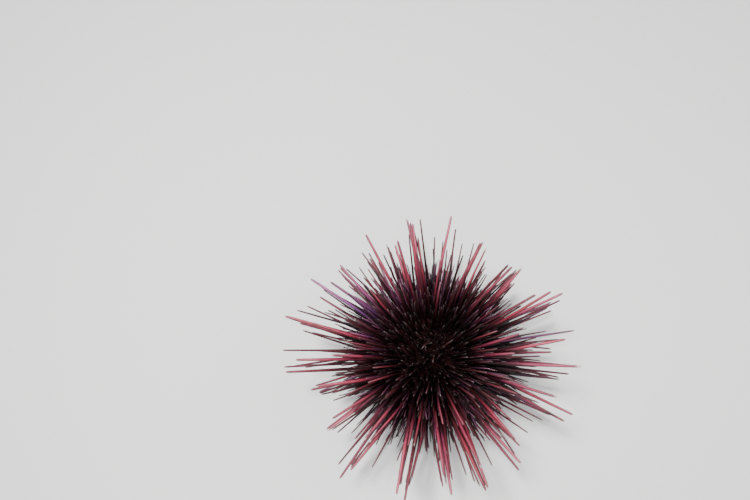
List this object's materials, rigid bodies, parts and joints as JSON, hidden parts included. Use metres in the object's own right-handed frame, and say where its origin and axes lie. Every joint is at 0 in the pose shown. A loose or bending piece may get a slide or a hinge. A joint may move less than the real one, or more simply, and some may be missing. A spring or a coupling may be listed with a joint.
{
  "type": "sea urchin",
  "caption": "Round sea urchin resting on its underside, its domed test covered in long tapered spines that spread in every direction.",
  "frame": {"origin": "on the floor, under the middle of the animal", "axes": "+Z up through the top of the test, +Y is up in the view from above, +X is right in that view"},
  "size_m": [0.2483, 0.2483, 0.1179],
  "materials": {
    "red_spines": "crimson calcite spines on a dark maroon test, satin, paler towards the worn tips",
    "dark_spines": "dark maroon and violet calcite spines and tube feet, satin",
    "plates": "dark maroon plates with fine grains, satin",
    "skin": "wet dark red-brown skin, finely wrinkled",
    "teeth": "off-white chisel teeth, glossy"
  },
  "bodies": {
    "root": {"ambulacrum_1": "dark_spines", "ambulacrum_2": "dark_spines", "ambulacrum_3": "dark_spines", "ambulacrum_4": "dark_spines", "ambulacrum_5": "dark_spines", "interambulacrum_1": "red_spines", "interambulacrum_2": "red_spines", "interambulacrum_3": "red_spines", "interambulacrum_4": "red_spines", "interambulacrum_5": "red_spines", "apical_disc": "plates", "periproct": "skin", "peristome": "skin", "teeth": "teeth"}
  },
  "joints": []
}
